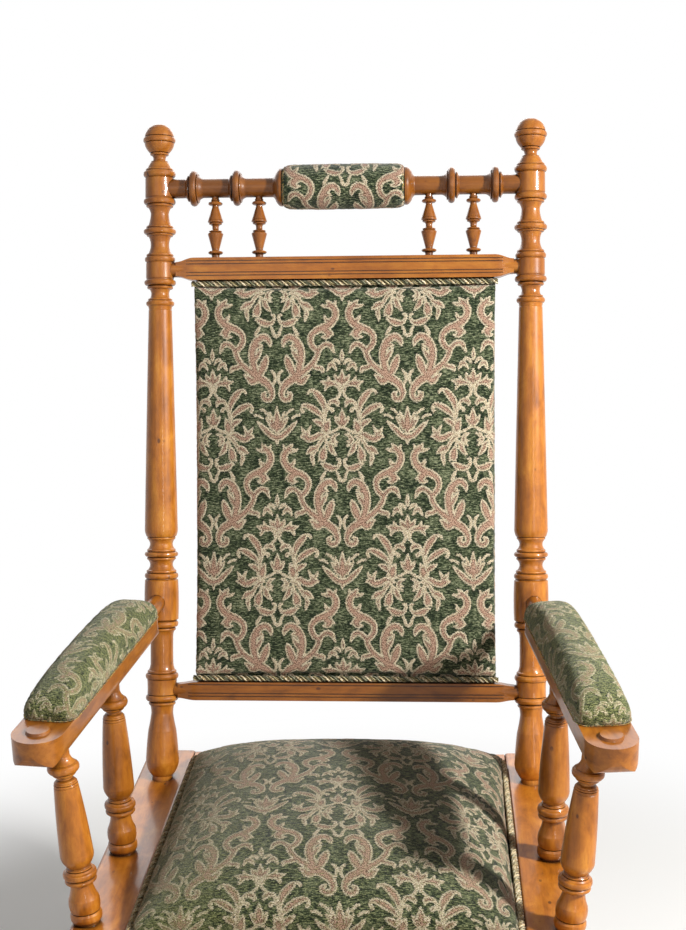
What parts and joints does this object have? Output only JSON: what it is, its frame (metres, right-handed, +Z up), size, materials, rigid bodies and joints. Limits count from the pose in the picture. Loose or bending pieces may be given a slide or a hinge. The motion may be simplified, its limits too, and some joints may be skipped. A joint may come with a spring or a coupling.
{
  "type": "platform rocker",
  "caption": "High-backed armchair with turned posts and damask upholstery that rocks on a fixed base on pivots and coil springs.",
  "frame": {"origin": "on the floor, at the middle of the chair's length and width", "axes": "+Z up, +Y towards the back of the chair, +X to the right of someone who looks at its front; the chair is the same on both sides of the YZ plane"},
  "size_m": [0.604, 0.6339, 1.1563],
  "materials": {
    "turned_wood": "shellac, glossy",
    "crest_wood": "shellac, glossy",
    "damask": "chenille damask, matte",
    "twisted_cord": "twisted, soft sheen",
    "webbing": "woven jute, matte",
    "lining": "plain weave, matte",
    "cast_iron": "black japanned",
    "spring_steel": "darkened steel"
  },
  "bodies": {
    "base": {"base_rail_left": "turned_wood", "base_rail_right": "turned_wood", "base_stretcher_front": "turned_wood", "base_stretcher_rear": "turned_wood", "base_foot_front_left": "turned_wood", "base_foot_front_right": "turned_wood", "base_foot_rear_left": "turned_wood", "base_foot_rear_right": "turned_wood", "base_bracket_left": "cast_iron", "base_bracket_right": "cast_iron", "base_bracket_screws": "spring_steel", "pivot_pin_left": "spring_steel", "pivot_pin_right": "spring_steel", "rocker_spring_front_left": "spring_steel", "rocker_spring_front_right": "spring_steel", "rocker_spring_rear_left": "spring_steel", "rocker_spring_rear_right": "spring_steel"},
    "chair": {"back_post_left": "turned_wood", "back_post_right": "turned_wood", "crest_rail": "crest_wood", "headrest_roll": "damask", "gallery_spindle_1": "turned_wood", "gallery_spindle_2": "turned_wood", "gallery_spindle_3": "turned_wood", "gallery_spindle_4": "turned_wood", "back_upper_rail": "turned_wood", "back_lower_rail": "turned_wood", "back_cushion": "damask", "back_piping_top": "twisted_cord", "back_piping_bottom": "twisted_cord", "back_webbing": "webbing", "back_lining": "lining", "arm_left": "turned_wood", "arm_right": "turned_wood", "arm_pad_left": "damask", "arm_pad_right": "damask", "arm_spindle_rear_left": "turned_wood", "arm_spindle_rear_right": "turned_wood", "arm_spindle_front_left": "turned_wood", "arm_spindle_front_right": "turned_wood", "seat_board_left": "turned_wood", "seat_board_right": "turned_wood", "seat_front_rail": "turned_wood", "seat_rear_rail": "turned_wood", "seat_webbing": "webbing", "seat_springs": "spring_steel", "seat_cushion": "damask", "seat_piping": "twisted_cord", "seat_dust_cover": "lining", "seat_leg_front_left": "turned_wood", "seat_leg_front_right": "turned_wood", "seat_leg_rear_left": "turned_wood", "seat_leg_rear_right": "turned_wood", "rocker_left": "turned_wood", "rocker_right": "turned_wood", "rocker_stretcher_front": "turned_wood", "rocker_stretcher_rear": "turned_wood", "rocker_bracket_left": "cast_iron", "rocker_bracket_right": "cast_iron", "rocker_bracket_screws": "spring_steel"}
  },
  "joints": [
    {"name": "rock", "type": "hinge", "parent": "base", "child": "chair", "pos_m": [0, -0.01718, 0.0965], "axis": [1, 0, 0], "range_deg": [-9, 9], "stiffness_Nm_per_rad": 170, "springref_deg": 1.63, "deforming": ["rocker_spring_front_left", "rocker_spring_front_right", "rocker_spring_rear_left", "rocker_spring_rear_right"]}
  ]
}
